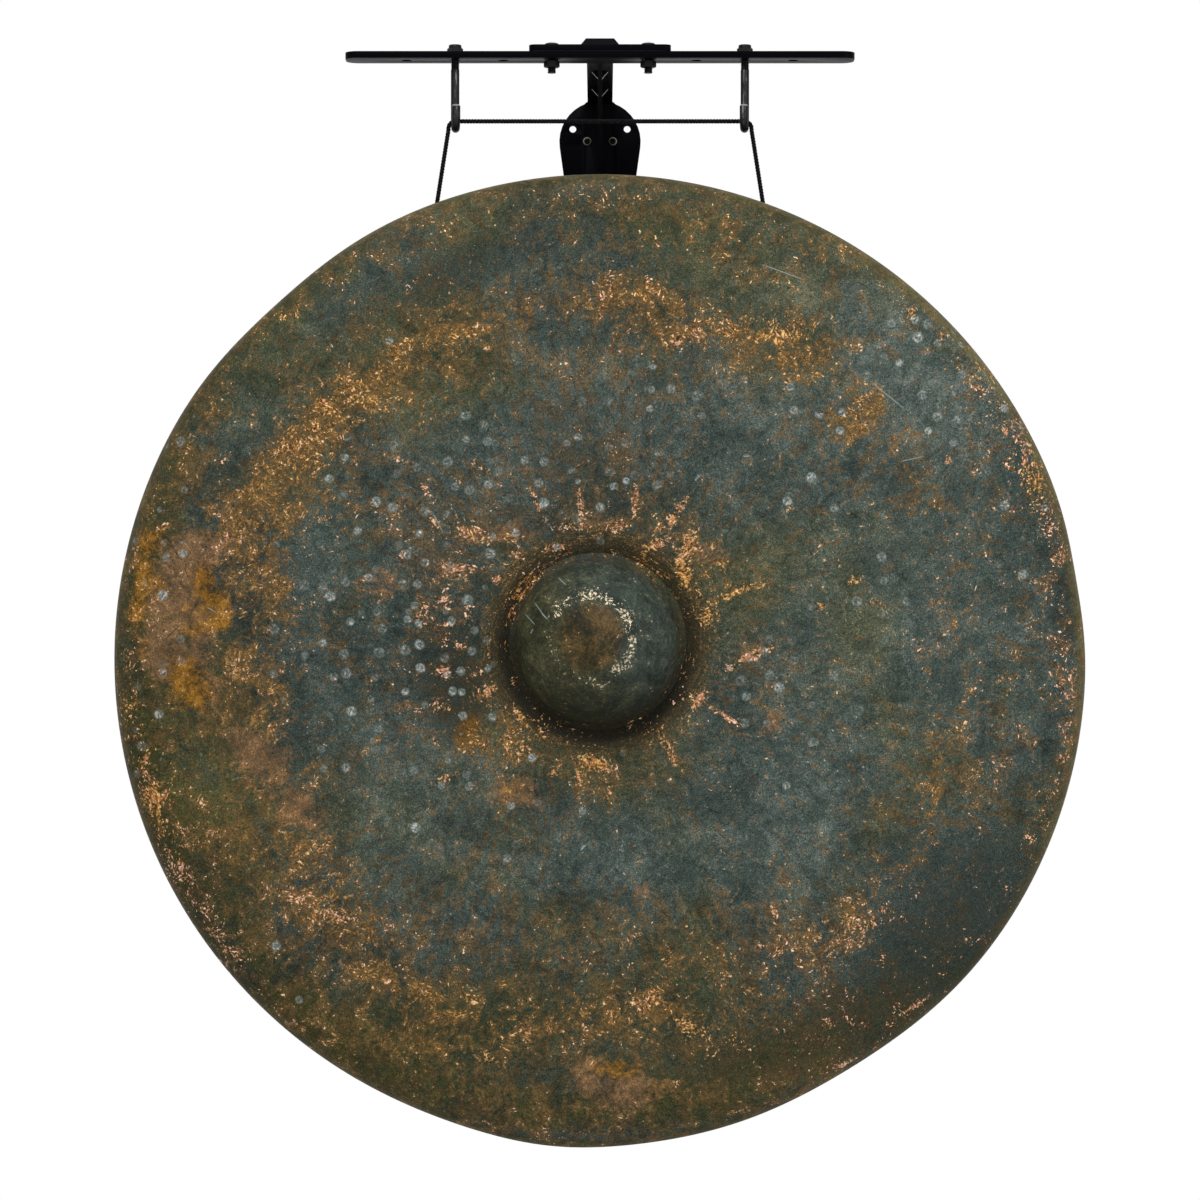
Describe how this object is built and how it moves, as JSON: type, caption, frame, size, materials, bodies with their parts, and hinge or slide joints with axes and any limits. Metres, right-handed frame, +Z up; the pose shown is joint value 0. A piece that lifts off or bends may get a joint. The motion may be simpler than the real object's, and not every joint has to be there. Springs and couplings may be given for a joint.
{
  "type": "bossed gong on a wall bracket",
  "caption": "Hand-hammered bronze gong with a raised boss, hung by a rope from hooks on the crossbar of a wall bracket.",
  "frame": {"origin": "on the wall, at the centre of the wall plate's round top, on its rear face", "axes": "+Y into the wall, +Z up, +X to the right as seen from the front"},
  "size_m": [0.9135, 0.3786, 1.0439],
  "materials": {
    "powder_coat": "black powder coat, satin, fine texture",
    "black_zinc": "black zinc plated steel",
    "bright_zinc": "bright zinc plated steel",
    "nylon": "natural nylon",
    "bronze": "hammered bronze with a dark green grey patina",
    "black_rope": "black twisted cord"
  },
  "bodies": {
    "bracket": {"wall_plate": "powder_coat", "bracket_arm": "powder_coat", "foot_screw_upper_left": "bright_zinc", "foot_screw_upper_right": "bright_zinc", "foot_screw_lower_left": "bright_zinc", "foot_screw_lower_right": "bright_zinc", "crossbar": "powder_coat", "head_bolt_left": "black_zinc", "head_bolt_right": "black_zinc", "head_nut_left": "black_zinc", "head_nut_right": "black_zinc", "hook_left": "powder_coat", "hook_right": "powder_coat", "hook_nut_left": "bright_zinc", "hook_nut_right": "bright_zinc", "hook_nut_insert_left": "nylon", "hook_nut_insert_right": "nylon"},
    "rope": {"rope": "black_rope"},
    "gong": {"gong": "bronze", "rope_knot_left": "black_rope", "rope_knot_right": "black_rope"}
  },
  "joints": [
    {"name": "rope_swing", "type": "hinge", "parent": "bracket", "child": "rope", "pos_m": [0, -0.298, -0.0175], "axis": [1, 0, 0], "range_deg": [-25, 10.5]},
    {"name": "gong_rock", "type": "hinge", "parent": "rope", "child": "gong", "pos_m": [0, -0.298, -0.0973], "axis": [1, 0, 0], "range_deg": [-8, 8]}
  ]
}
